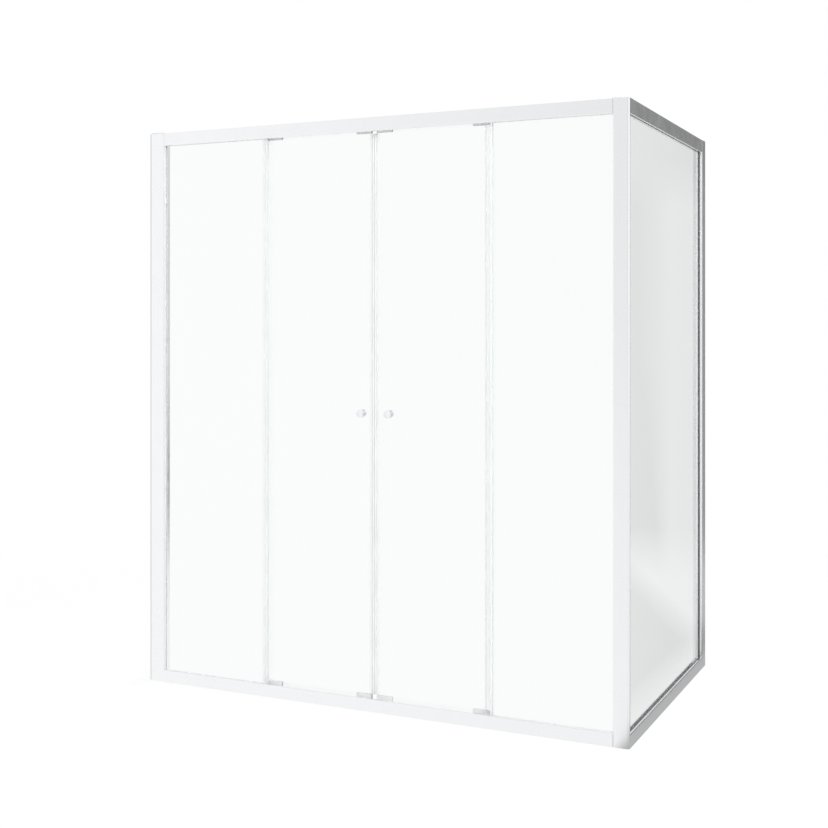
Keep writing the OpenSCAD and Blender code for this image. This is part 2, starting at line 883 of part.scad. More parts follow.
// Half section of a knob standing on its washer: foot, neck and a dished round head
module knob_section() {
    foot_r = knob_d * 0.36;
    foot_h = knob_l * 0.14;
    neck_r = knob_d * 0.27;
    head_h = knob_l * 0.68;
    rim_r = 2;
    dish_r = 60;
    dish_depth = 0.8;
    difference() {
        union() {
            square([foot_r, foot_h]);
            square([neck_r, knob_l / 2]);
            translate([0, knob_l - head_h]) {
                square([knob_d / 2 - rim_r, head_h]);
                translate([0, rim_r]) square([knob_d / 2, head_h - 2 * rim_r]);
                for (y = [rim_r, head_h - rim_r])
                    translate([knob_d / 2 - rim_r, y]) circle(r = rim_r);
            }
        }
        translate([0, knob_l + dish_r - dish_depth]) circle(r = dish_r, $fn = 180);
        square([stud_d / 2, stud_bite]);
        translate([-knob_d, 0]) square([knob_d, knob_l]);
    }
}

module knob() {
    translate([0, 0, glass_t / 2 + washer_t]) rotate_extrude() knob_section();
}

module outer_knob() {
    color(chrome) at_knob() knob();
}

module inner_knob() {
    color(chrome) at_knob() mirror([0, 0, 1]) knob();
}

module knob_stud() {
    half = glass_t / 2 + washer_t + stud_bite;
    color(steel) at_knob() translate([0, 0, -half]) cylinder(d = stud_d, h = 2 * half);
}

// Washer with a sleeve that keeps the stud off the glass
module knob_washer() {
    washer_r = knob_d * 0.38;
    sleeve_l = glass_t / 2 - 0.1;
    difference() {
        union() {
            translate([0, 0, glass_t / 2]) cylinder(r = washer_r, h = washer_t);
            translate([0, 0, glass_t / 2 - sleeve_l]) cylinder(d = knob_hole_d, h = sleeve_l);
        }
        cylinder(d = stud_d, h = glass_t + washer_t);
    }
}

module knob_washers() {
    color(clear_vinyl) at_knob() {
        knob_washer();
        mirror([0, 0, 1]) knob_washer();
    }
}

left_wall_channel();
left_wall_jamb();
side_wall_channel();
side_wall_jamb();
corner_post();
corner_post_cap();
wall_jamb_caps();
front_top_rail();
front_bottom_rail();
side_top_rail();
side_bottom_rail();
left_fixed_glass();
right_fixed_glass();
side_glass();
glazing_gaskets();
left_edge_seal();
right_edge_seal();
groove_infill_strips();
glass_setting_blocks();
rail_end_blocks();
frame_screws();
door_stops();
mirrored_to_left() door_glass();  // left_door_glass
mirrored_to_left() magnet_seal();  // left_magnet_seal
mirrored_to_left() magnet_strip();  // left_magnet_strip
mirrored_to_left() door_side_seal();  // left_door_side_seal
mirrored_to_left() roller_housings();  // left_roller_housings
mirrored_to_left() wheel_axles();  // left_wheel_axles
mirrored_to_left() clamp_bolts();  // left_clamp_bolts
mirrored_to_left() outer_knob();  // left_outer_knob
mirrored_to_left() inner_knob();  // left_inner_knob
mirrored_to_left() knob_stud();  // left_knob_stud
mirrored_to_left() knob_washers();  // left_knob_washers
door_glass();  // right_door_glass
magnet_seal();  // right_magnet_seal
magnet_strip();  // right_magnet_strip
door_side_seal();  // right_door_side_seal
roller_housings();  // right_roller_housings
wheel_axles();  // right_wheel_axles
clamp_bolts();  // right_clamp_bolts
outer_knob();  // right_outer_knob
inner_knob();  // right_inner_knob
knob_stud();  // right_knob_stud
knob_washers();  // right_knob_washers
mirrored_to_left() wheel(1);  // left_bottom_wheel_1
mirrored_to_left() wheel(2);  // left_bottom_wheel_2
mirrored_to_left() wheel(3);  // left_bottom_wheel_3
mirrored_to_left() wheel(4);  // left_bottom_wheel_4
mirrored_to_left() top_wheel(1);  // left_top_wheel_1
mirrored_to_left() top_wheel(2);  // left_top_wheel_2
mirrored_to_left() top_wheel(3);  // left_top_wheel_3
mirrored_to_left() top_wheel(4);  // left_top_wheel_4
wheel(1);  // right_bottom_wheel_1
wheel(2);  // right_bottom_wheel_2
wheel(3);  // right_bottom_wheel_3
wheel(4);  // right_bottom_wheel_4
top_wheel(1);  // right_top_wheel_1
top_wheel(2);  // right_top_wheel_2
top_wheel(3);  // right_top_wheel_3
top_wheel(4);  // right_top_wheel_4
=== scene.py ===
# %% [markdown]
# # A corner shower screen with two sliding doors
# The aluminium profiles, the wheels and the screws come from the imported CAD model, so
# every one of them is already in its place. This script gives them their finishes. It
# makes again the pieces whose edges are ground or rounded, and the thin seals, and it sets
# up the floor, the light and the camera.

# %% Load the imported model
import math
import bpy
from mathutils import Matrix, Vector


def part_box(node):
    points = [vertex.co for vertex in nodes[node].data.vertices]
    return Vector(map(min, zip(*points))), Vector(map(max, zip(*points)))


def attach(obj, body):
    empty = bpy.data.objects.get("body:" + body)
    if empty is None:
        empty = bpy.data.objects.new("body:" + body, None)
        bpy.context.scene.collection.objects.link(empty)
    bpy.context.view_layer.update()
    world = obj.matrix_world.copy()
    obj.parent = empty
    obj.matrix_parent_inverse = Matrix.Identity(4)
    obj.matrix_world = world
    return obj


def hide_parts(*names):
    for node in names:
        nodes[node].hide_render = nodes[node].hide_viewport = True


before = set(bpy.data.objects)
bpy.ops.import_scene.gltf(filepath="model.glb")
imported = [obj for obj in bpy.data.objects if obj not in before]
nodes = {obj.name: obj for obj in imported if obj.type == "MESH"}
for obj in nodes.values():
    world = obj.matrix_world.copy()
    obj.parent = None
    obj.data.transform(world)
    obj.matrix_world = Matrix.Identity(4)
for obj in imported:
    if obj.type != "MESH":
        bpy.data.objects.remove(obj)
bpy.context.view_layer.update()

# %% [markdown]
# ## The camera
# The picture was taken from the right of the front and a little above its middle, with
# the camera level, so that uprights stay upright. The lens is moved down instead of
# tilted, which is what a negative vertical shift does.

# %% Place the camera
camera_place = (1.860497, -4.120729, 1.238851)
camera_turn = 25.192
camera_lens = 55.192
lens_drop = -0.1086

camera_data = bpy.data.cameras.new("camera")
camera_data.sensor_width = 36
camera_data.lens = camera_lens
camera_data.shift_y = lens_drop
camera_data.clip_start = 0.05
camera_data.clip_end = 100
camera = bpy.data.objects.new("camera", camera_data)
camera.location = camera_place
camera.rotation_euler = (math.radians(90), 0, math.radians(camera_turn))
bpy.context.scene.collection.objects.link(camera)
bpy.context.scene.camera = camera
bpy.context.scene.view_settings.view_transform = "Standard"
print("camera at", camera_place, "turned", camera_turn, "degrees")

# %% [markdown]
# ## Helpers for materials
# Colours are chosen as sRGB hex values, as in any drawing program, but Blender mixes
# light in linear values, so one function turns one into the other. The second helper adds
# one node to a material: its settings are given by name, and its inputs are either plain
# values or links from nodes made before it. Three short ones start a material, give it
# its surface, and put it on nodes of the CAD model. A material is named for what it is.

# %% Material helpers
def linear(hex_colour):
    parts = [int(hex_colour[i:i + 2], 16) / 255 for i in (1, 3, 5)]
    values = [c / 12.92 if c <= 0.04045 else ((c + 0.055) / 1.055) ** 2.4 for c in parts]
    return (*values, 1.0)


def add(tree, kind, inputs=(), **settings):
    made = tree.nodes.new(kind)
    for name, value in settings.items():
        setattr(made, name, value)
    for name, value in dict(inputs).items():
        if isinstance(value, bpy.types.NodeSocket):
            tree.links.new(value, made.inputs[name])
        else:
            made.inputs[name].default_value = value
    return made


def new_material(name):
    material = bpy.data.materials.new(name)
    material.use_nodes = True
    material.node_tree.nodes.clear()
    return material, material.node_tree


def finish_material(tree, shader):
    add(tree, "ShaderNodeOutputMaterial", {"Surface": shader})


def dress(node_names, material):
    for name in node_names:
        mesh = nodes[name].data
        mesh.materials.clear()
        mesh.materials.append(material)


MM = 0.001
print("#808080 is", round(linear("#808080")[0], 3), "in linear values")

# %% [markdown]
# ## Bright anodised aluminium
# The profiles are pushed through a steel die, so they carry very fine lines along their
# length, then they are polished and anodised. To the eye this is a bright, slightly
# cloudy metal with soft reflections. The lines are a noise that is stretched some eight
# hundred times along the profile, so each direction of profile has its own material. Real
# die lines are about 0.1 mm apart: they are drawn 0.8 mm apart, so that they show. The
# clouds are about 70 mm wide. The wall channels stay as they left the die, which is
# called mill finish: the same metal, a little duller and greyer.

# %% Aluminium for each direction of profile
LINE_SPACING = 0.8 * MM
LINE_LENGTH = 2000 / 3 * MM
CLOUD_WIDTH = 1000 / 14 * MM


def extruded_aluminium(name, lengthwise, dark="#EFF0F1", light="#F6F7F8", fine=0.22,
        coarse=0.3):
    material, tree = new_material(name)
    place = add(tree, "ShaderNodeTexCoord").outputs["Object"]
    line_scale = [1 / LINE_SPACING] * 3
    line_scale[lengthwise] = 1 / LINE_LENGTH
    stretched = add(tree, "ShaderNodeMapping", {"Vector": place, "Scale": line_scale})
    lines = add(tree, "ShaderNodeTexNoise", {"Vector": stretched.outputs["Vector"],
        "Scale": 1.0, "Detail": 2.0})
    cloud = add(tree, "ShaderNodeTexNoise", {"Vector": place,
        "Scale": 1 / CLOUD_WIDTH, "Detail": 3.0})
    colour = add(tree, "ShaderNodeMix", {"Factor": lines.outputs["Fac"],
        "A": linear(dark), "B": linear(light)}, data_type="RGBA")
    roughness = add(tree, "ShaderNodeMapRange", {"Value": cloud.outputs["Fac"],
        "From Min": 0.3, "From Max": 0.7, "To Min": fine, "To Max": coarse})
    bump = add(tree, "ShaderNodeBump", {"Height": lines.outputs["Fac"],
        "Strength": 0.02, "Distance": 0.05 * MM})
    shader = add(tree, "ShaderNodeBsdfPrincipled", {
        "Base Color": colour.outputs["Result"], "Metallic": 1.0,
        "Roughness": roughness.outputs["Result"], "Normal": bump.outputs["Normal"]})
    finish_material(tree, shader.outputs["BSDF"])
    return material


aluminium_x = extruded_aluminium("anodised_aluminium_along_x", lengthwise=0)
aluminium_y = extruded_aluminium("anodised_aluminium_along_y", lengthwise=1)
aluminium_z = extruded_aluminium("anodised_aluminium_along_z", lengthwise=2)
dress(["front_top_rail", "front_bottom_rail", "groove_infill_strips"], aluminium_x)
dress(["side_top_rail", "side_bottom_rail"], aluminium_y)
dress(["left_wall_jamb", "side_wall_jamb", "corner_post"], aluminium_z)
mill_finish = extruded_aluminium("mill_finish_aluminium", lengthwise=2, dark="#DCDEDF",
    light="#E6E8E9", fine=0.34, coarse=0.42)
dress(["left_wall_channel", "side_wall_channel"], mill_finish)
print("anodised aluminium on 8 profiles, mill finish on 2 wall channels")

# %% [markdown]
# ## Clear toughened glass
# Float glass is almost colourless through its face, and its gloss varies a little where
# it was wiped, in smears 200 mm wide. A solid pane of it in Blender throws a dark
# shadow, because the light that it lets through is not followed back to the lamp, so
# shadow rays take a clear way through instead.

# %% Glass
SMEAR_WIDTH = 200 * MM


def toughened_glass(name, tint):
    material, tree = new_material(name)
    place = add(tree, "ShaderNodeTexCoord").outputs["Object"]
    smears = add(tree, "ShaderNodeTexNoise", {"Vector": place,
        "Scale": 1 / SMEAR_WIDTH, "Detail": 4.0})
    roughness = add(tree, "ShaderNodeMapRange", {"Value": smears.outputs["Fac"],
        "From Min": 0.35, "From Max": 0.75, "To Min": 0.0, "To Max": 0.012})
    glass = add(tree, "ShaderNodeBsdfPrincipled", {"Base Color": linear(tint),
        "Roughness": roughness.outputs["Result"], "IOR": 1.52,
        "Transmission Weight": 1.0})
    clear = add(tree, "ShaderNodeBsdfTransparent", {"Color": linear("#F4F8F6")})
    light_path = add(tree, "ShaderNodeLightPath")
    mixed = add(tree, "ShaderNodeMixShader", {
        "Fac": light_path.outputs["Is Shadow Ray"], 1: glass.outputs["BSDF"],
        2: clear.outputs["BSDF"]})
    finish_material(tree, mixed.outputs["Shader"])
    return material


glass = toughened_glass("clear_toughened_glass", "#FAFBFB")
dress(["left_fixed_glass", "right_fixed_glass", "side_glass", "left_door_glass",
    "right_door_glass"], glass)
print("glass:", glass.name)

# %% [markdown]
# ## Rubber and plastics
# The stops and the gaskets of the side are extruded rubber in dark grey, matt and a little
# dusty. The gaskets of the front are the same rubber, painted nearly white: painted light
# for the brighter look of the front. The roller housings and end blocks are moulded nylon
# with a fine spark-eroded grain, the end caps are a satin plastic, the magnet strips have a
# smooth white sheath, and the wheels are waxy acetal. All of them are opaque, so they
# differ only in colour, grain and gloss, and one function makes them. A real moulding
# grain is 0.2 to 0.5 mm: it is drawn at 1.2 mm and more, so that it shows.

# %% Opaque plastics
GLOSS_SPREAD = 0.06


def moulded_plastic(name, dark, light, rough, grain_mm, bump_mm):
    material, tree = new_material(name)
    place = add(tree, "ShaderNodeTexCoord").outputs["Object"]
    grain = add(tree, "ShaderNodeTexNoise", {"Vector": place,
        "Scale": 1 / (grain_mm * MM), "Detail": 2.0})
    colour = add(tree, "ShaderNodeMix", {"Factor": grain.outputs["Fac"],
        "A": linear(dark), "B": linear(light)}, data_type="RGBA")
    roughness = add(tree, "ShaderNodeMapRange", {"Value": grain.outputs["Fac"],
        "To Min": rough - GLOSS_SPREAD, "To Max": rough + GLOSS_SPREAD})
    bump = add(tree, "ShaderNodeBump", {"Height": grain.outputs["Fac"],
        "Strength": 0.3, "Distance": bump_mm * MM})
    shader = add(tree, "ShaderNodeBsdfPrincipled", {
        "Base Color": colour.outputs["Result"],
        "Roughness": roughness.outputs["Result"], "IOR": 1.5,
        "Normal": bump.outputs["Normal"]})
    finish_material(tree, shader.outputs["BSDF"])
    return material


rubber = moulded_plastic("extruded_rubber", "#585A5C", "#66686A",
    rough=0.6, grain_mm=1.5, bump_mm=0.05)
# Painted light: the same rubber as above, painted nearly white for the brighter look of the
# front gaskets.
rubber_painted_light = moulded_plastic("extruded_rubber_painted_light", "#E6E8E9", "#EEF0F1",
    rough=0.5, grain_mm=1.5, bump_mm=0.05)
nylon = moulded_plastic("moulded_nylon", "#F0F2F3", "#F8F9FA",
    rough=0.45, grain_mm=1.2, bump_mm=0.05)
cap_plastic = moulded_plastic("satin_cap_plastic", "#D6D7D9", "#DEDFE1",
    rough=0.38, grain_mm=1.2, bump_mm=0.03)
sheath = moulded_plastic("sheathed_magnet_strip", "#FAFBFB", "#FEFEFE",
    rough=0.5, grain_mm=1.5, bump_mm=0.02)
acetal = moulded_plastic("white_acetal", "#E8E7E2", "#F0EFEA",
    rough=0.3, grain_mm=4.0, bump_mm=0.01)
doors = ["left", "right"]
dress(["glazing_gaskets", "glass_setting_blocks", "door_stops"], rubber)
dress([f"{door}_magnet_strip" for door in doors], sheath)
dress([f"{door}_roller_housings" for door in doors] + ["rail_end_blocks"], nylon)
dress(["corner_post_cap", "wall_jamb_caps"], cap_plastic)
wheels = [name for name in nodes if "_wheel_" in name and not name.endswith("axles")]
dress(wheels, acetal)
print("acetal on", len(wheels), "wheels")

# %% [markdown]
# ## Clear soft vinyl
# The seals that clip on the glass are clear soft vinyl, about a millimetre thick. Through
# walls that thin one sees nearly everything, only a little milky, with a gloss on top.
# A see-through alpha does that better than real refraction, which makes thin seals look
# like dark crystal. The cloudiness varies slowly along the strip, in patches of about
# 110 mm, as it does after a while in use. Where a fixed pane's seal and a door's seal lie
# behind each other, light would have to pass more walls than the renderer follows and
# would end as black. So from the eighth wall that a ray meets, a wall is opaque and glows
# pale grey: painted light that stands in for the light from behind.

# %% Vinyl
PATCH_WIDTH = 1000 / 9 * MM
WALLS_SEEN_THROUGH = 7
# Painted light: the colour in which a wall glows where it stands in for light from behind.
PAINTED_BACKLIGHT_GLOW = "#B0B2B2"


def soft_vinyl(name, colour, alpha_low, alpha_high):
    material, tree = new_material(name)
    place = add(tree, "ShaderNodeTexCoord").outputs["Object"]
    cloud = add(tree, "ShaderNodeTexNoise", {"Vector": place,
        "Scale": 1 / PATCH_WIDTH, "Detail": 2.0})
    alpha = add(tree, "ShaderNodeMapRange", {"Value": cloud.outputs["Fac"],
        "From Min": 0.3, "From Max": 0.7, "To Min": alpha_low, "To Max": alpha_high})
    walls = add(tree, "ShaderNodeLightPath").outputs["Transparent Depth"]
    # From the eighth wall on, a wall is opaque and glows with painted light.
    opaque_painted_glow = add(tree, "ShaderNodeMath", {0: walls, 1: WALLS_SEEN_THROUGH - 0.5},
        operation="GREATER_THAN")
    cover = add(tree, "ShaderNodeMath", {0: alpha.outputs["Result"],
        1: opaque_painted_glow.outputs["Value"]}, operation="MAXIMUM")
    shader = add(tree, "ShaderNodeBsdfPrincipled", {"Base Color": linear(colour),
        "Roughness": 0.25, "IOR": 1.5, "Alpha": cover.outputs["Value"],
        "Emission Color": linear(PAINTED_BACKLIGHT_GLOW),
        "Emission Strength": opaque_painted_glow.outputs["Value"]})
    finish_material(tree, shader.outputs["BSDF"])
    return material


vinyl = soft_vinyl("clear_soft_vinyl", "#E2E4E4", alpha_low=0.06, alpha_high=0.09)
dress(["left_edge_seal", "right_edge_seal"], vinyl)
dress([f"{door}_{part}" for door in doors for part in ("magnet_seal", "door_side_seal",
    "knob_washers")], vinyl)
print("vinyl:", vinyl.name)

# %% [markdown]
# ## Stainless steel and chrome
# Screws, axle pins and studs are turned stainless steel, bright but not polished. The
# knobs are polished brass under chrome plate, which mirrors what is around it, nearly
# sharply: handling takes the last of the sharpness. The roughness of both varies a little.

# %% Steel and chrome
def bright_metal(name, colour, rough_low, rough_high, grain_mm):
    material, tree = new_material(name)
    place = add(tree, "ShaderNodeTexCoord").outputs["Object"]
    wear = add(tree, "ShaderNodeTexNoise", {"Vector": place,
        "Scale": 1 / (grain_mm * MM), "Detail": 3.0})
    roughness = add(tree, "ShaderNodeMapRange", {"Value": wear.outputs["Fac"],
        "To Min": rough_low, "To Max": rough_high})
    shader = add(tree, "ShaderNodeBsdfPrincipled", {"Base Color": linear(colour),
        "Metallic": 1.0, "Roughness": roughness.outputs["Result"]})
    finish_material(tree, shader.outputs["BSDF"])
    return material


steel = bright_metal("turned_stainless_steel", "#C9CACC", rough_low=0.28,
    rough_high=0.42, grain_mm=0.8)
chrome = bright_metal("polished_chrome_plate", "#EEF0F2", rough_low=0.09,
    rough_high=0.14, grain_mm=5.0)
dress(["frame_screws"] + [f"{door}_{part}" for door in doors
    for part in ("wheel_axles", "clamp_bolts", "knob_stud")], steel)
dress([f"{door}_{part}" for door in doors for part in ("outer_knob", "inner_knob")], chrome)
print("metals:", steel.name, "and", chrome.name)

# %% [markdown]
# ## Working by hand in edit mode
# The next pieces are made as one would by hand: a primitive is added at its real size and
# place, then its edges and faces are picked and shaped. An operator acts on everything
# that is selected, so each piece starts with nothing selected, and its edges are picked
# in code by where they are. Two points count as one when they are less than a hundredth
# of a millimetre apart.

# %% Helpers to start, pick in and finish a piece
SAME_POINT = 0.01 * MM
SHARP_ANGLE = 40


def start_fresh():
    if bpy.context.object and bpy.context.object.mode != "OBJECT":
        bpy.ops.object.mode_set(mode="OBJECT")
    bpy.ops.object.select_all(action="DESELECT")


def pick_edges(piece, wanted):
    bpy.ops.object.mode_set(mode="EDIT")
    bpy.ops.mesh.select_mode(type="EDGE")
    bpy.ops.mesh.select_all(action="DESELECT")
    bpy.ops.object.mode_set(mode="OBJECT")
    mesh = piece.data
    for edge in mesh.edges:
        ends = [piece.matrix_world @ mesh.vertices[i].co for i in edge.vertices]
        edge.select = wanted(*ends)
    bpy.ops.object.mode_set(mode="EDIT")


def finish_piece(piece, name, body, node, material, smooth_angle=SHARP_ANGLE):
    start_fresh()
    piece.select_set(True)
    bpy.context.view_layer.objects.active = piece
    bpy.ops.object.transform_apply(location=True, rotation=True, scale=True)
    bpy.ops.object.shade_smooth_by_angle(angle=math.radians(smooth_angle))
    piece.name = piece.data.name = name
    piece.data.materials.clear()
    piece.data.materials.append(material)
    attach(piece, body)
    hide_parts(node)
    return piece


print("edges are sharp from", SHARP_ANGLE, "degrees")

# %% [markdown]
# ## What comes in mirrored pairs
# The left half of the front is the right half, mirrored at the line where the doors meet,
# and a knob is alike inside and outside. So a piece is made once, for the right half, and
# its copies are flipped in edit mode. Each copy has a mesh of its own. A flip turns a mesh
# inside out, so its faces are made to point outwards again.

# %% Mirrored copies
left_glass_box, right_glass_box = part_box("left_door_glass"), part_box("right_door_glass")
meeting_x = (left_glass_box[1][0] + right_glass_box[0][0]) / 2
door_middle_y = (right_glass_box[0][1] + right_glass_box[1][1]) / 2


def mirrored_copy(piece, flip, name, body, node, material,
        smooth_angle=SHARP_ANGLE):
    start_fresh()
    twin = bpy.data.objects.new(name, piece.data.copy())
    bpy.context.scene.collection.objects.link(twin)
    twin.select_set(True)
    bpy.context.view_layer.objects.active = twin
    bpy.ops.object.mode_set(mode="EDIT")
    bpy.ops.mesh.select_all(action="SELECT")
    bpy.ops.transform.resize(value=flip, center_override=(meeting_x, door_middle_y, 0))
    bpy.ops.mesh.normals_make_consistent(inside=False)
    bpy.ops.object.mode_set(mode="OBJECT")
    return finish_piece(twin, name, body, node, material, smooth_angle)


print("the doors meet at x =", round(meeting_x, 4))

# %% [markdown]
# ## The panes
# A real pane isn't a sharp box. After it is cut, its edges are ground and its corners
# are arrised, which means taken off by a belt to less than a millimetre, so that nobody
# is cut. That narrow slope is what catches the light along a pane. A box of the pane's
# size is added and its twelve edges are bevelled. The doors' panes are then drilled, as
# at the glazier's, before they are hardened: a Boolean modifier takes a round core out for
# each clamping bolt and one for the knob. The holes are found from the bolts and the knob
# that go through them. The ground edges are frosted, so they have a finish of their own.

# %% The ground edge of the glass
GRIND_GRAIN = 1.5 * MM


def ground_glass_edge(name, tint):
    material, tree = new_material(name)
    place = add(tree, "ShaderNodeTexCoord").outputs["Object"]
    grind = add(tree, "ShaderNodeTexNoise", {"Vector": place,
        "Scale": 1 / GRIND_GRAIN, "Detail": 3.0})
    roughness = add(tree, "ShaderNodeMapRange", {"Value": grind.outputs["Fac"],
        "To Min": 0.4, "To Max": 0.6})
    shader = add(tree, "ShaderNodeBsdfPrincipled", {"Base Color": linear(tint),
        "Roughness": roughness.outputs["Result"], "IOR": 1.52,
        "Transmission Weight": 0.4})
    finish_material(tree, shader.outputs["BSDF"])
    return material


glass_edge = ground_glass_edge("ground_glass_edge", "#EBF0EE")
print("edge finish:", glass_edge.name)

# %% Panes with arrised edges
ARRIS = 0.8 * MM
FACING = 0.9


def arris(piece, low, high):
    def at_side(point, axis):
        return min(abs(point[axis] - low[axis]), abs(point[axis] - high[axis])) < SAME_POINT

    def outer_edge(a, b):
        shared = [k for k in range(3) if at_side(a, k) and at_side(b, k)
            and abs(a[k] - b[k]) < SAME_POINT]
        return len(shared) >= 2

    pick_edges(piece, outer_edge)
    bpy.ops.mesh.bevel(offset=ARRIS, segments=1, affect="EDGES")
    bpy.ops.object.mode_set(mode="OBJECT")


def paint_edges(piece, thin_axis):
    piece.data.materials.append(glass_edge)
    for face in piece.data.polygons:
        if abs(face.normal[thin_axis]) < FACING:
            face.material_index = 1


def arrised_box(node):
    start_fresh()
    low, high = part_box(node)
    middle = [(a + b) / 2 for a, b in zip(low, high)]
    size = [b - a for a, b in zip(low, high)]
    bpy.ops.mesh.primitive_cube_add(size=1, location=middle, scale=size)
    piece = bpy.context.active_object
    bpy.ops.object.transform_apply(location=True, rotation=True, scale=True)
    arris(piece, low, high)
    print(node, "is", [round(v / MM) for v in size], "mm")
    return piece


for node, thin_axis in (("left_fixed_glass", 1), ("right_fixed_glass", 1), ("side_glass", 0)):
    piece = arrised_box(node)
    finish_piece(piece, node + "_arrised", "frame", node, glass)
    paint_edges(piece, thin_axis)

# %% Drilled panes of the doors
BOLT_HEAD = 7.5 * MM
BOLT_HOLE = 8 * MM
KNOB_HOLE = 12 * MM
CORE_LENGTH = 30 * MM


def drill(piece, x, z, diameter):
    start_fresh()
    bpy.ops.mesh.primitive_cylinder_add(vertices=64, radius=diameter / 2,
        depth=CORE_LENGTH, location=(x, door_middle_y, z), rotation=(math.pi / 2, 0, 0))
    core = bpy.context.active_object
    hole = piece.modifiers.new("hole", "BOOLEAN")
    hole.operation = "DIFFERENCE"
    hole.solver = "EXACT"
    hole.object = core
    start_fresh()
    bpy.context.view_layer.objects.active = piece
    bpy.ops.object.modifier_apply(modifier="hole")
    bpy.data.objects.remove(core)


pane = arrised_box("right_door_glass")
bolts_low, bolts_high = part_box("right_clamp_bolts")
for x in (bolts_low[0] + BOLT_HEAD / 2, bolts_high[0] - BOLT_HEAD / 2):
    for z in (bolts_low[2] + BOLT_HEAD / 2, bolts_high[2] - BOLT_HEAD / 2):
        drill(pane, x, z, BOLT_HOLE)
knob_low, knob_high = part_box("right_outer_knob")
drill(pane, (knob_low[0] + knob_high[0]) / 2, (knob_low[2] + knob_high[2]) / 2, KNOB_HOLE)
finish_piece(pane, "right_door_glass_drilled", "right_door", "right_door_glass",
    glass)
twin = mirrored_copy(pane, (-1, 1, 1), "left_door_glass_drilled", "left_door",
    "left_door_glass", glass)
for piece in (pane, twin):
    paint_edges(piece, 1)
    print(piece.name, len(piece.data.polygons), "faces")

# %% [markdown]
# ## Moulded and extruded pieces with softened edges
# A moulded or extruded plastic piece has no razor edges: the tool's corners are rounded,
# by 0.4 mm on a gasket or an end block, 0.5 mm on a cap and a millimetre on a stop. The
# shapes are right in the CAD model, so each is copied and merged, and a Bevel modifier
# rounds the edges that are sharper than 40 degrees. It is applied at once. The gaskets are
# one piece, so the faces of the front ones get the same rubber painted nearly white, which
# is painted light.

# %% Softened copies
FLAT_ANGLE = 0.5


def merged_copy(node):
    start_fresh()
    piece = bpy.data.objects.new(node + "_copy", nodes[node].data.copy())
    bpy.context.scene.collection.objects.link(piece)
    piece.select_set(True)
    bpy.context.view_layer.objects.active = piece
    bpy.ops.object.mode_set(mode="EDIT")
    bpy.ops.mesh.select_all(action="SELECT")
    bpy.ops.mesh.remove_doubles(threshold=SAME_POINT)
    bpy.ops.mesh.dissolve_limited(angle_limit=math.radians(FLAT_ANGLE))
    bpy.ops.object.mode_set(mode="OBJECT")
    bpy.ops.mesh.customdata_custom_splitnormals_clear()
    return piece


def softened(node, body, material, radius, steps):
    piece = merged_copy(node)
    rounding = piece.modifiers.new("rounding", "BEVEL")
    rounding.width = radius
    rounding.segments = steps
    rounding.limit_method = "ANGLE"
    rounding.angle_limit = math.radians(SHARP_ANGLE)
    rounding.use_clamp_overlap = True
    bpy.ops.object.modifier_apply(modifier="rounding")
    finish_piece(piece, node + "_softened", body, node, material)
    print(piece.name, len(piece.data.polygons), "faces")
    return piece


gaskets = softened("glazing_gaskets", "frame", rubber,
    radius=0.4 * MM, steps=2)
softened("door_stops", "frame", rubber, radius=1.0 * MM, steps=2)
softened("rail_end_blocks", "frame", nylon, radius=0.4 * MM, steps=1)
softened("corner_post_cap", "frame", cap_plastic, radius=0.5 * MM, steps=2)
softened("wall_jamb_caps", "frame", cap_plastic, radius=0.5 * MM, steps=2)

# %% Front gaskets: the same rubber, painted light
BESIDE_SIDE_PANE = 10 * MM

side_strips_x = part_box("side_glass")[0][0] - BESIDE_SIDE_PANE
# The front gaskets' faces get the lighter copy of the rubber: painted light, not another
# rubber.
gaskets.data.materials.append(rubber_painted_light)
front_faces = [face for face in gaskets.data.polygons if face.center.x < side_strips_x]
for face in front_faces:
    face.material_index = 1
print("pale rubber on", len(front_faces), "of", len(gaskets.data.polygons), "faces")

# %% [markdown]
# ## The roller housings
# Each door runs on four moulded housings, two below and two above, and of the lower ones
# a strip 8 mm high shows over the rail. Their outline on both faces is rounded like a bar
# of soap, while the seats for glass, pins and bolts stay sharp. So only the outline's
# edges are picked: those at the ends, the top and the foot.

# %% Housings with a rounded outline
HOUSING_LENGTH = 54 * MM
CORNER_REACH = 4.1 * MM
OUTLINE_ROUND = 0.9 * MM
SAME_LEVEL = 0.02 * MM


def rounded_housings(door):
    node = f"{door}_roller_housings"
    piece = merged_copy(node)
    low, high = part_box(node)
    ends = [low[0], low[0] + HOUSING_LENGTH, high[0] - HOUSING_LENGTH, high[0]]
    heights = {round(v.co.z, 5) for v in piece.data.vertices}
    middle = (low[2] + high[2]) / 2
    levels = [min(heights), max(z for z in heights if z < middle),
        min(z for z in heights if z > middle), max(heights)]

    def on_outline(a, b):
        if abs(a.y - b.y) > SAME_POINT:
            return False
        same_end = any(max(abs(a.x - x), abs(b.x - x)) < CORNER_REACH for x in ends)
        same_level = any(max(abs(a.z - z), abs(b.z - z)) < SAME_LEVEL for z in levels)
        return same_end or same_level

    pick_edges(piece, on_outline)
    bpy.ops.mesh.bevel(offset=OUTLINE_ROUND, segments=3, affect="EDGES",
        clamp_overlap=True)
    bpy.ops.object.mode_set(mode="OBJECT")
    finish_piece(piece, node + "_rounded", f"{door}_door", node, nylon)
    print(piece.name, len(piece.data.polygons), "faces, levels at",
        [round(z / MM) for z in levels])


for door in doors:
    rounded_housings(door)

# %% [markdown]
# ## The clip-on seals
# Each seal is one extruded vinyl strip with a wall of about a millimetre: two legs that
# clip on the glass, a rounded nose, and on some a thin fin. Such a strip is easy to draw
# as it is made. A plane is stood up as the strip's first wall, at its full height. Its
# far upright edge is then extruded from point to point of the section, as seen in plan,
# the corners are rounded with a bevel, and Solidify gives the wall its thickness.

# %% A strip from its section in plan
SAME_PLACE = 0.02 * MM


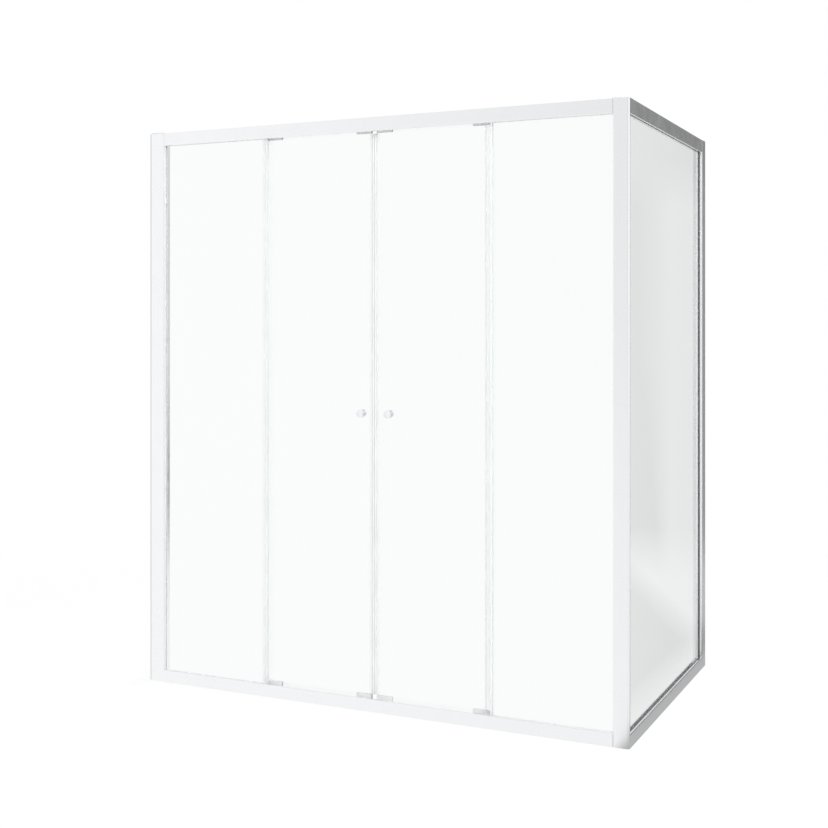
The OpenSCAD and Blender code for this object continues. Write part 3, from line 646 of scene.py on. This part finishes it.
def stand_up_strip(points, low, high, thickness, corner_round):
    start_fresh()
    (x0, y0), (x1, y1) = points[:2]
    bpy.ops.mesh.primitive_plane_add(size=1, location=(0, 0, 0))
    piece = bpy.context.active_object
    corners = [(x0, y0, low), (x1, y1, low), (x0, y0, high), (x1, y1, high)]
    for vertex, corner in zip(piece.data.vertices, corners):
        vertex.co = corner
    for (ax, ay), (bx, by) in zip(points[1:], points[2:]):
        pick_edges(piece, lambda a, b: all(
            math.hypot(v.x - ax, v.y - ay) < SAME_PLACE for v in (a, b)))
        bpy.ops.mesh.extrude_region_move(
            TRANSFORM_OT_translate={"value": (bx - ax, by - ay, 0)})
    rounded = points[1:-1]
    pick_edges(piece, lambda a, b: abs(a.z - b.z) > 1 * MM and any(
        math.hypot(a.x - x, a.y - y) < SAME_PLACE for x, y in rounded))
    bpy.ops.mesh.bevel(offset=corner_round, segments=4, affect="EDGES")
    bpy.ops.object.mode_set(mode="OBJECT")
    wall = piece.modifiers.new("wall", "SOLIDIFY")
    wall.thickness = thickness
    wall.offset = 0.0
    wall.use_even_offset = True
    bpy.ops.object.modifier_apply(modifier="wall")
    bpy.ops.object.mode_set(mode="EDIT")
    bpy.ops.mesh.select_all(action="SELECT")
    bpy.ops.mesh.normals_make_consistent(inside=False)
    bpy.ops.object.mode_set(mode="OBJECT")
    print("a strip of", len(points), "points,", round(high - low, 3), "m high")
    return piece


# %% Joined and mirrored strips
def joined(parts):
    start_fresh()
    for part in parts:
        part.select_set(True)
    bpy.context.view_layer.objects.active = parts[0]
    bpy.ops.object.join()
    return parts[0]


def mirrored_strip(piece, name, body, node):
    return mirrored_copy(piece, (-1, 1, 1), name, body, node, vinyl)


WALL = 1.2 * MM
half_wall = WALL / 2
print("walls of the seals are", round(WALL / MM, 1), "mm thick")

# %% [markdown]
# ## Where the seals sit
# A fixed pane and the door behind it never touch. The pane's edge seal and the door's
# side seal close the gap: each has a fin, 0.8 mm thin, that first stands straight out of
# its clip and then leans, so that it bends away softly when the other passes. At the line
# where the doors meet, each has a seal with a web across the glass edge for the magnet.

# %% Edge seals of the fixed panes
NOSE_ROUND = 1.4 * MM
FIN_WALL = 0.8 * MM
FIN_STRAIGHT = 3 * MM
FIN_TIP_GAP = 0.3 * MM
FIN_BEND_X = -0.1 * MM
FIN_TIP_X = 0.9 * MM

low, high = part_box("right_edge_seal")
pane_low, pane_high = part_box("right_fixed_glass")
front_y, back_y = pane_low[1] - half_wall, pane_high[1] + half_wall
nose_x, leg_x = low[0] + half_wall, high[0]
fin_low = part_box("right_door_side_seal")[0][2]
fin_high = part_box("right_door_side_seal")[1][2]
clip = stand_up_strip([(leg_x, front_y), (nose_x, front_y), (nose_x, back_y),
    (leg_x, back_y)], low[2], high[2], WALL, NOSE_ROUND)
fin = stand_up_strip([(nose_x, back_y), (nose_x + FIN_BEND_X, back_y + FIN_STRAIGHT),
    (nose_x + FIN_TIP_X, high[1] - FIN_TIP_GAP)], fin_low, fin_high, FIN_WALL, FIN_WALL)
edge_seal = finish_piece(joined([clip, fin]), "right_edge_seal_strip", "frame",
    "right_edge_seal", vinyl)
mirrored_strip(edge_seal, "left_edge_seal_strip", "frame", "left_edge_seal")
print("edge seal is", round((high[0] - low[0]) / MM, 1), "mm wide")

# %% Magnet seals of the doors
MAGNET_NOSE_ROUND = 1.6 * MM
WEB_ROUND = 0.1 * MM

low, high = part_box("right_magnet_seal")
glass_low, glass_high = right_glass_box
front_y, back_y = glass_low[1] - half_wall, glass_high[1] + half_wall
nose_x, leg_x = low[0] + half_wall, high[0]
clip = stand_up_strip([(leg_x, front_y), (nose_x, front_y), (nose_x, back_y),
    (leg_x, back_y)], low[2], high[2], WALL, MAGNET_NOSE_ROUND)
web_x = glass_low[0] - half_wall
web = stand_up_strip([(web_x, front_y + half_wall), (web_x, (front_y + back_y) / 2),
    (web_x, back_y - half_wall)], low[2], high[2], WALL, WEB_ROUND)
magnet_seal = finish_piece(joined([clip, web]), "right_magnet_seal_strip", "right_door",
    "right_magnet_seal", vinyl)
mirrored_strip(magnet_seal, "left_magnet_seal_strip", "left_door", "left_magnet_seal")
print("magnet seal is", round((high[0] - low[0]) / MM, 1), "mm wide")

# %% Side seals of the doors
SIDE_ROUND = 1.0 * MM
SIDE_FIN_INSET = 0.6 * MM
SIDE_FIN_TIP_INSET = 1.4 * MM

low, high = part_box("right_door_side_seal")
edge_x = high[0] - half_wall
clip = stand_up_strip([(low[0], front_y), (edge_x, front_y), (edge_x, back_y),
    (low[0], back_y)], low[2], high[2], WALL, SIDE_ROUND)
fin_x = edge_x - SIDE_FIN_INSET
fin = stand_up_strip([(fin_x, front_y - half_wall), (fin_x, front_y - FIN_STRAIGHT),
    (edge_x - SIDE_FIN_TIP_INSET, low[1] + FIN_TIP_GAP)], low[2], high[2], FIN_WALL,
    FIN_WALL)
side_seal = finish_piece(joined([clip, fin]), "right_door_side_seal_strip", "right_door",
    "right_door_side_seal", vinyl)
mirrored_strip(side_seal, "left_door_side_seal_strip", "left_door", "left_door_side_seal")
print("side seal is", round((high[0] - low[0]) / MM, 1), "mm wide")

# %% [markdown]
# ## The knobs
# A knob is turned from brass bar and chrome plated: a foot on its washer, a waist for the
# fingertips, and a round head whose rim is well rounded and whose face is slightly
# dished. It starts as a short cylinder. The outer cap is inset and pushed in for the
# dish, the inner cap is inset and pulled out for the waist and flared for the foot, and
# the rims are bevelled. One knob is made and the other three are mirrored copies.

# %% The measures of a knob
HEAD_SHARE = 0.68
WAIST_SHARE = 0.18
WAIST_INSET = 0.28
FOOT_FLARE = 1.24
RIM_ROUND = 1.9 * MM
FACE_RIM = 1.2 * MM
DISH_RING = 2.2 * MM
DISH_DEPTHS = [0.34 * MM, 0.26 * MM, 0.18 * MM, 0.1 * MM]
print("a knob's face is dished by", round(sum(DISH_DEPTHS) / MM, 2), "mm")


# %% Faces across the knob
def pick_faces_across(piece, y):
    bpy.ops.object.mode_set(mode="EDIT")
    bpy.ops.mesh.select_mode(type="FACE")
    bpy.ops.mesh.select_all(action="DESELECT")
    bpy.ops.object.mode_set(mode="OBJECT")
    for face in piece.data.polygons:
        face.select = abs(face.center.y - y) < SAME_POINT
    bpy.ops.object.mode_set(mode="EDIT")


print("faces are picked within", SAME_POINT / MM, "mm of their place")


# %% A turned knob
def turned_knob(node, outward):
    start_fresh()
    low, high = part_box(node)
    centre_x, centre_z = (low[0] + high[0]) / 2, (low[2] + high[2]) / 2
    radius, length = (high[0] - low[0]) / 2, high[1] - low[1]
    face_y = low[1] if outward < 0 else high[1]
    foot_y = high[1] if outward < 0 else low[1]
    head = length * HEAD_SHARE
    bpy.ops.mesh.primitive_cylinder_add(vertices=96, radius=radius, depth=head,
        location=(centre_x, face_y - outward * head / 2, centre_z),
        rotation=(math.radians(90), 0, 0))
    piece = bpy.context.active_object
    bpy.ops.object.transform_apply(location=True, rotation=True, scale=True)
    back_y = face_y - outward * head
    pick_edges(piece, lambda a, b: abs(a.y - b.y) < SAME_POINT)
    bpy.ops.mesh.bevel(offset=RIM_ROUND, segments=6, affect="EDGES")
    bpy.ops.object.mode_set(mode="OBJECT")
    pick_faces_across(piece, face_y)
    bpy.ops.mesh.inset(thickness=FACE_RIM)
    for depth in DISH_DEPTHS:
        bpy.ops.mesh.inset(thickness=DISH_RING, depth=-depth)
    bpy.ops.object.mode_set(mode="OBJECT")
    pick_faces_across(piece, back_y)
    bpy.ops.mesh.inset(thickness=radius * WAIST_INSET)
    waist = length * WAIST_SHARE
    bpy.ops.mesh.extrude_region_move(
        TRANSFORM_OT_translate={"value": (0, -outward * waist, 0)})
    middle = (centre_x, back_y, centre_z)
    bpy.ops.transform.resize(value=(FOOT_FLARE, 1, FOOT_FLARE), center_override=middle)
    rest = abs(foot_y - back_y) - waist
    bpy.ops.mesh.extrude_region_move(
        TRANSFORM_OT_translate={"value": (0, -outward * rest, 0)})
    bpy.ops.mesh.select_all(action="SELECT")
    bpy.ops.mesh.normals_make_consistent(inside=False)
    bpy.ops.object.mode_set(mode="OBJECT")
    print(node, "turned from a bar of", round(2 * radius / MM), "mm")
    return piece


# %% Four knobs
KNOB_SMOOTH = 35

knob = finish_piece(turned_knob("right_outer_knob", -1), "right_outer_knob_turned",
    "right_door", "right_outer_knob", chrome, KNOB_SMOOTH)
for flip, door, face in (((1, -1, 1), "right", "inner"), ((-1, 1, 1), "left", "outer"),
        ((-1, -1, 1), "left", "inner")):
    node = f"{door}_{face}_knob"
    mirrored_copy(knob, flip, node + "_turned", f"{door}_door", node, chrome,
        KNOB_SMOOTH)
print("four knobs,", len(knob.data.polygons), "faces each")

# %% [markdown]
# ## The studio
# The screen stands on a white floor in front of nothing, as in a catalogue. The camera
# and the panes see sky and floor plain white, so the glass stays clear, and the floor
# outside the glass keeps a soft shadow. What glass and metal mirror is something else:
# white in front of the screen, a little brighter at the left, and grey behind it. That
# contrast is what makes glass and metal readable. The tones were found one mirroring
# piece after another. A ray's direction is read as three numbers from -1 to 1: X is to
# the right, Y is to the back and Z is up.

# %% The sky's tones in mirrors
world = bpy.data.worlds.new("studio")
bpy.context.scene.world = world
world.use_nodes = True
sky = world.node_tree
sky.nodes.clear()
WHITE = linear("#FFFFFF")
BACK_TONE = 0.23
LOW_BACK_BEGIN = 0.42
LOW_BACK_END = 0.1

along = add(sky, "ShaderNodeSeparateXYZ",
    {"Vector": add(sky, "ShaderNodeTexCoord").outputs["Generated"]})
behind = add(sky, "ShaderNodeMapRange", {"Value": along.outputs["Y"],
    "From Min": 0.76, "From Max": 0.93}, interpolation_type="SMOOTHSTEP")
front_tone = add(sky, "ShaderNodeMapRange", {"Value": along.outputs["X"],
    "From Min": -0.6, "From Max": -0.1, "To Min": 1.07, "To Max": 0.83})
right_tone = add(sky, "ShaderNodeMapRange", {"Value": along.outputs["X"],
    "From Min": 0.55, "From Max": 0.75, "To Min": 0.0, "To Max": 0.32})
sides = add(sky, "ShaderNodeMath", {0: front_tone.outputs["Result"],
    1: right_tone.outputs["Result"]}, operation="ADD")
low_back = add(sky, "ShaderNodeMapRange", {"Value": along.outputs["X"],
    "From Min": 0.2375, "From Max": 0.262, "To Min": LOW_BACK_BEGIN,
    "To Max": LOW_BACK_END})
higher_up = add(sky, "ShaderNodeMapRange", {"Value": along.outputs["Z"],
    "From Min": 0.09, "From Max": 0.125})
back_tone = add(sky, "ShaderNodeMix", {"Factor": higher_up.outputs["Result"],
    "A": low_back.outputs["Result"], "B": BACK_TONE})
tone = add(sky, "ShaderNodeMix", {"Factor": behind.outputs["Result"],
    "A": sides.outputs["Value"], "B": back_tone.outputs["Result"]})
print("the sky is", BACK_TONE, "bright behind")

# %% What each kind of ray sees of the sky
FILL_STRENGTH = 0.75

sky_rays = add(sky, "ShaderNodeLightPath")
sky_seen = add(sky, "ShaderNodeMath", {0: sky_rays.outputs["Is Camera Ray"],
    1: sky_rays.outputs["Is Transmission Ray"]}, operation="MAXIMUM")
white = add(sky, "ShaderNodeBackground", {"Color": WHITE, "Strength": 1.0})
toned = add(sky, "ShaderNodeBackground", {"Color": WHITE,
    "Strength": tone.outputs["Result"]})
fill = add(sky, "ShaderNodeBackground", {"Color": WHITE, "Strength": FILL_STRENGTH})
unseen = add(sky, "ShaderNodeMixShader", {"Fac": sky_rays.outputs["Is Glossy Ray"],
    1: fill.outputs["Background"], 2: toned.outputs["Background"]})
whole_sky = add(sky, "ShaderNodeMixShader", {"Fac": sky_seen.outputs["Value"],
    1: unseen.outputs["Shader"], 2: white.outputs["Background"]})
add(sky, "ShaderNodeOutputWorld", {"Surface": whole_sky.outputs["Shader"]})
print("sky:", len(sky.nodes), "nodes")

# %% [markdown]
# ## The lamps
# Two broad lamps, one from the right of the front and one from above, give rubber, nylon
# and floor their light and the soft shadow. They don't show in mirrors, where two bright
# squares would spoil the plain tones of glass and metal.

# %% Two soft lamps
def soft_lamp(name, place, target, size, power):
    data = bpy.data.lights.new(name, "AREA")
    data.shape = "SQUARE"
    data.size = size
    data.energy = power
    lamp = bpy.data.objects.new(name, data)
    lamp.location = place
    aim = [t - p for t, p in zip(target, place)]
    flat = math.hypot(aim[0], aim[1])
    lamp.rotation_euler = (math.pi / 2 + math.atan2(aim[2], flat), 0,
        math.atan2(-aim[0], aim[1]))
    lamp.visible_glossy = False
    bpy.context.scene.collection.objects.link(lamp)
    print(name, "is", size, "m wide, at", place)


soft_lamp("key_lamp", place=(3.4, -3.6, 3.6), target=(0, 0, 0.9), size=3.0, power=140)
soft_lamp("top_lamp", place=(1.2, 1.0, 5.0), target=(0, 0, 0), size=3.5, power=100)

# %% [markdown]
# ## The floor
# To the eye the floor is white paint with a soft shadow, which is blended into plain white
# away from the screen, so that floor and background meet without a line. In mirrors it
# has its own tones: nearly white in front, grey along the side panel, and darker far
# behind, where it goes over into the grey of the sky. The places in its ramps are metres
# from the middle of the screen. A slanted place is X with a share of Y, so that its ramp
# runs aslant over the floor. A heading is how far the floor goes to the right for each
# metre to the back, seen from the side pane: the sky's low tones turn at the same heading,
# so no horizon shows. Each line of the table is a ramp: what it reads, from where to
# where it runs, and its value at both ends.

# %% The floor and its places
FLOOR_SIZE = 60
FLOOR_DROP = 0.5 * MM
SIDE_PANE_X = 0.84

start_fresh()
bpy.ops.mesh.primitive_plane_add(size=FLOOR_SIZE, location=(0, 0, -FLOOR_DROP))
floor = bpy.context.active_object
floor.name = "floor"
floor_material, tree = new_material("white_floor")
spot = add(tree, "ShaderNodeTexCoord").outputs["Object"]
axes = add(tree, "ShaderNodeSeparateXYZ", {"Vector": spot})
to_right, to_back = axes.outputs["X"], axes.outputs["Y"]
half_slant = add(tree, "ShaderNodeMath", {0: to_back, 1: -0.5, 2: to_right},
    operation="MULTIPLY_ADD").outputs["Value"]
front_slant = add(tree, "ShaderNodeMath", {0: to_back, 1: -0.45, 2: to_right},
    operation="MULTIPLY_ADD").outputs["Value"]
past_pane = add(tree, "ShaderNodeMath", {0: to_right, 1: SIDE_PANE_X},
    operation="SUBTRACT").outputs["Value"]
heading = add(tree, "ShaderNodeMath", {0: past_pane, 1: to_back},
    operation="DIVIDE").outputs["Value"]
print("floor:", FLOOR_SIZE, "m wide")

# %% The floor's tones in mirrors
ramps = {
    "not far right": (half_slant, 1.14, 1.34, 1.0, 0.0),
    "right of the side": (to_right, 0.8, 0.84, 0.0, 1.0),
    "grey to middle": (to_right, 0.9, 1.0, 0.0, 1.0),
    "far behind": (to_back, 2.0, 3.5, 0.0, 1.0),
    "front tone": (front_slant, -1.5, 2.5, 1.06, 0.97),
    "middle tone": (half_slant, 0.42, 0.6, 0.62, 0.16),
    "far tone": (heading, 0.2445, 0.2715, LOW_BACK_BEGIN, LOW_BACK_END),
}
tones = {}
for name, (place, start, end, tone_start, tone_end) in ramps.items():
    tones[name] = add(tree, "ShaderNodeMapRange", {"Value": place, "From Min": start,
        "From Max": end, "To Min": tone_start, "To Max": tone_end}).outputs["Result"]
beside = add(tree, "ShaderNodeMath", {0: tones["right of the side"],
    1: tones["not far right"]}, operation="MULTIPLY")
behind_share = add(tree, "ShaderNodeMath", {0: tones["far behind"],
    1: tones["not far right"]}, operation="MULTIPLY")
grey_tone = add(tree, "ShaderNodeMix", {"Factor": tones["grey to middle"], "A": 0.5,
    "B": tones["middle tone"]})
near_tone = add(tree, "ShaderNodeMix", {"Factor": beside.outputs["Value"],
    "A": tones["front tone"], "B": grey_tone.outputs["Result"]})
mirror_tone = add(tree, "ShaderNodeMix", {"Factor": behind_share.outputs["Value"],
    "A": near_tone.outputs["Result"], "B": tones["far tone"]})
print("mirror tones:", len(tree.nodes), "nodes")

# %% The floor's paint and shadow
floor_rays = add(tree, "ShaderNodeLightPath")
distance = add(tree, "ShaderNodeVectorMath", {0: spot}, operation="LENGTH")
away = add(tree, "ShaderNodeMapRange", {"Value": distance.outputs["Value"],
    "From Min": 1.4, "From Max": 3.2, "To Min": 0.82, "To Max": 1.0},
    interpolation_type="SMOOTHSTEP")
floor_seen = add(tree, "ShaderNodeMath", {0: floor_rays.outputs["Is Camera Ray"],
    1: floor_rays.outputs["Is Transmission Ray"]}, operation="MAXIMUM")
plain_share = add(tree, "ShaderNodeMath", {0: floor_seen.outputs["Value"],
    1: away.outputs["Result"]}, operation="MULTIPLY")
not_through = add(tree, "ShaderNodeMath", {0: 1.0,
    1: floor_rays.outputs["Is Transmission Ray"]}, operation="SUBTRACT")
mirrored = add(tree, "ShaderNodeMath", {0: floor_rays.outputs["Is Glossy Ray"],
    1: not_through.outputs["Value"]}, operation="MULTIPLY")
unshaded = add(tree, "ShaderNodeMath", {0: mirrored.outputs["Value"],
    1: floor_rays.outputs["Is Transmission Ray"]}, operation="MAXIMUM")
glow_share = add(tree, "ShaderNodeMath", {0: plain_share.outputs["Value"],
    1: unshaded.outputs["Value"]}, operation="MAXIMUM")
paint = add(tree, "ShaderNodeBsdfDiffuse", {"Color": linear("#F5F5F5")})
glow_tone = add(tree, "ShaderNodeMix", {"Factor": mirrored.outputs["Value"], "A": 1.0,
    "B": mirror_tone.outputs["Result"]})
glow = add(tree, "ShaderNodeEmission", {"Color": WHITE,
    "Strength": glow_tone.outputs["Result"]})
floor_shader = add(tree, "ShaderNodeMixShader", {"Fac": glow_share.outputs["Value"],
    1: paint.outputs["BSDF"], 2: glow.outputs["Emission"]})
finish_material(tree, floor_shader.outputs["Shader"])
floor.data.materials.append(floor_material)
print("floor:", len(tree.nodes), "nodes")
